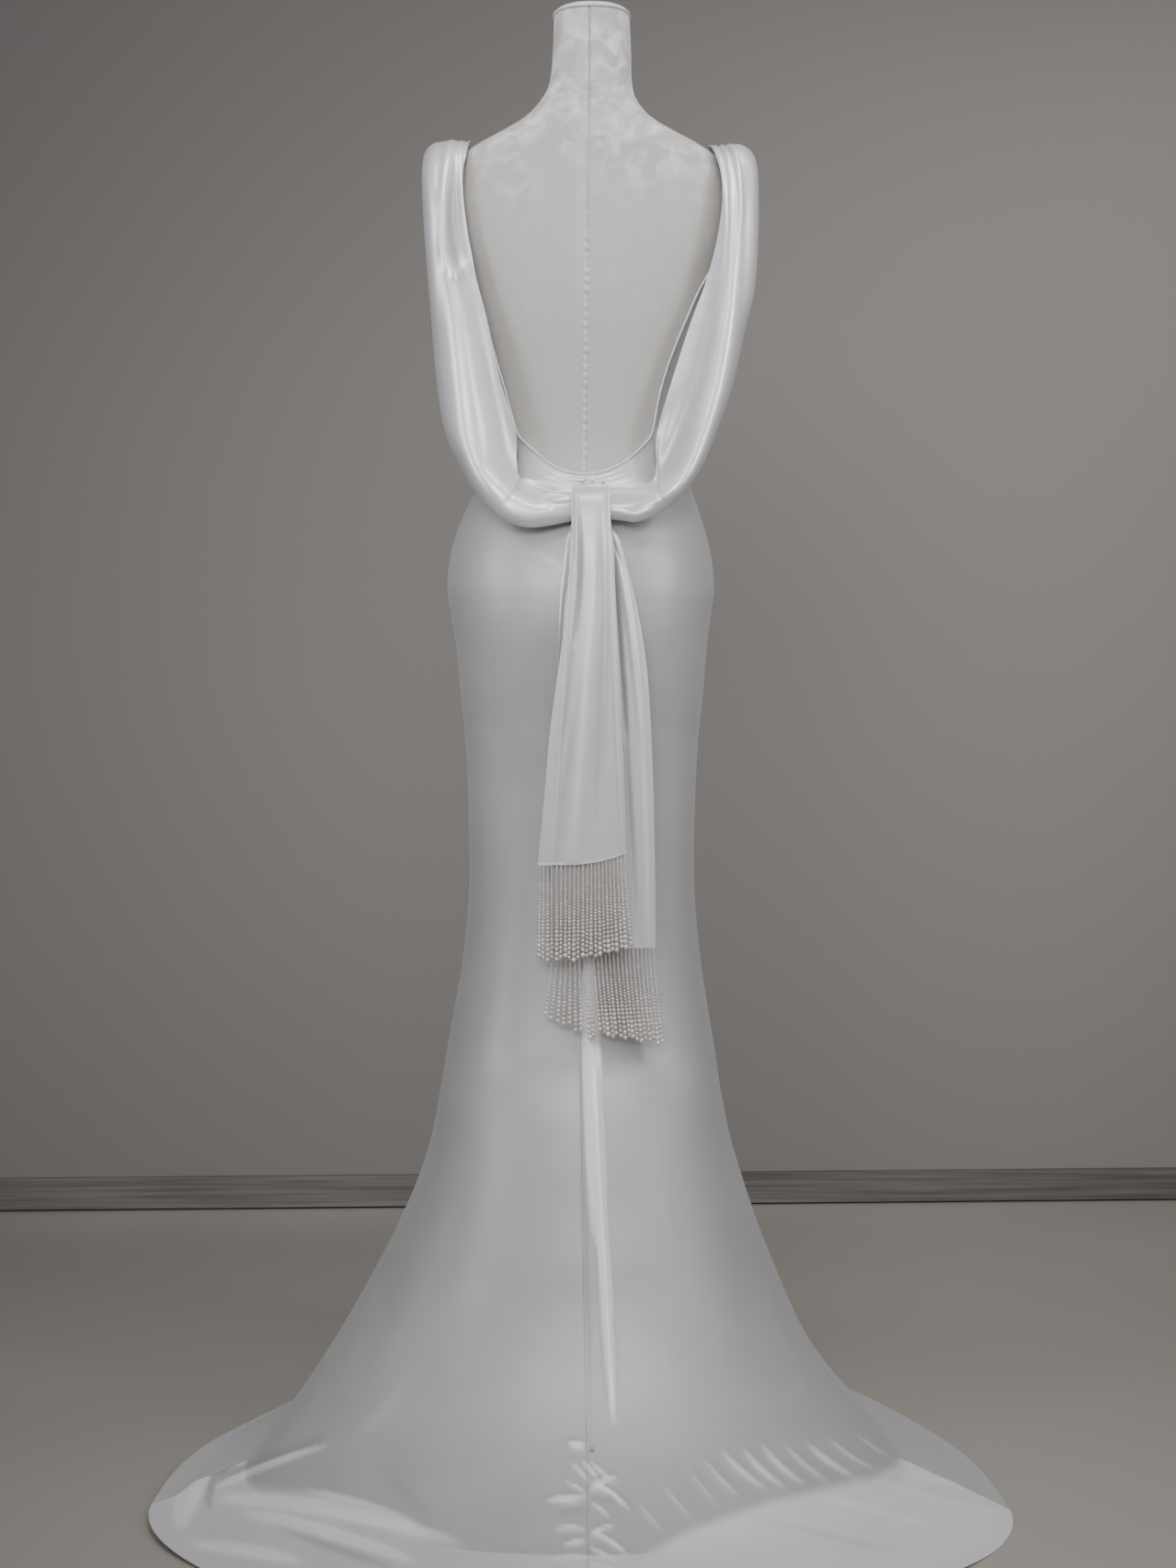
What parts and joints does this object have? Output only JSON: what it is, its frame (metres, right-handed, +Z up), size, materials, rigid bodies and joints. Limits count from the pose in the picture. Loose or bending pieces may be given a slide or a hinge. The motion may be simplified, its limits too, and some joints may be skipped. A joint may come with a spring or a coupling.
{
  "type": "wedding dress on a dress form",
  "caption": "Backless bias-cut satin wedding gown with draped shoulder bands, a pearl-fringed sash and a spreading train, worn by a limbless velvet dress form on a stand.",
  "frame": {"origin": "middle of the stand base's underside, on the floor, under the axis of the dress form", "axes": "+Z up the dress form; +Y to the front of the gown; -Y to its back and train; +X to the viewer's right seen from behind"},
  "size_m": [0.9193, 1.1483, 1.7603],
  "materials": {
    "satin": "heavy ivory satin with a soft sheen",
    "sash": "ivory satin, reverse side of the cloth",
    "velvet": "off-white crushed velvet",
    "pearl": "pearlescent",
    "crystal": "clear cut crystal",
    "enamel": "white satin enamel"
  },
  "bodies": {
    "root": {"bodice_front": "satin", "yoke_back_left": "satin", "yoke_back_right": "satin", "back_binding": "satin", "skirt_front_left": "satin", "skirt_front_right": "satin", "skirt_back_left": "satin", "skirt_back_right": "satin", "drape_left": "satin", "drape_right": "satin", "tail_front": "sash", "tail_rear": "sash", "fringe_front": "pearl", "fringe_rear": "pearl", "closure_crystal_1": "crystal", "closure_crystal_2": "crystal", "closure_crystal_3": "crystal", "train_button": "crystal", "form_torso": "velvet", "neck_cap": "velvet", "stand_pole": "enamel", "stand_base": "enamel"}
  },
  "joints": []
}
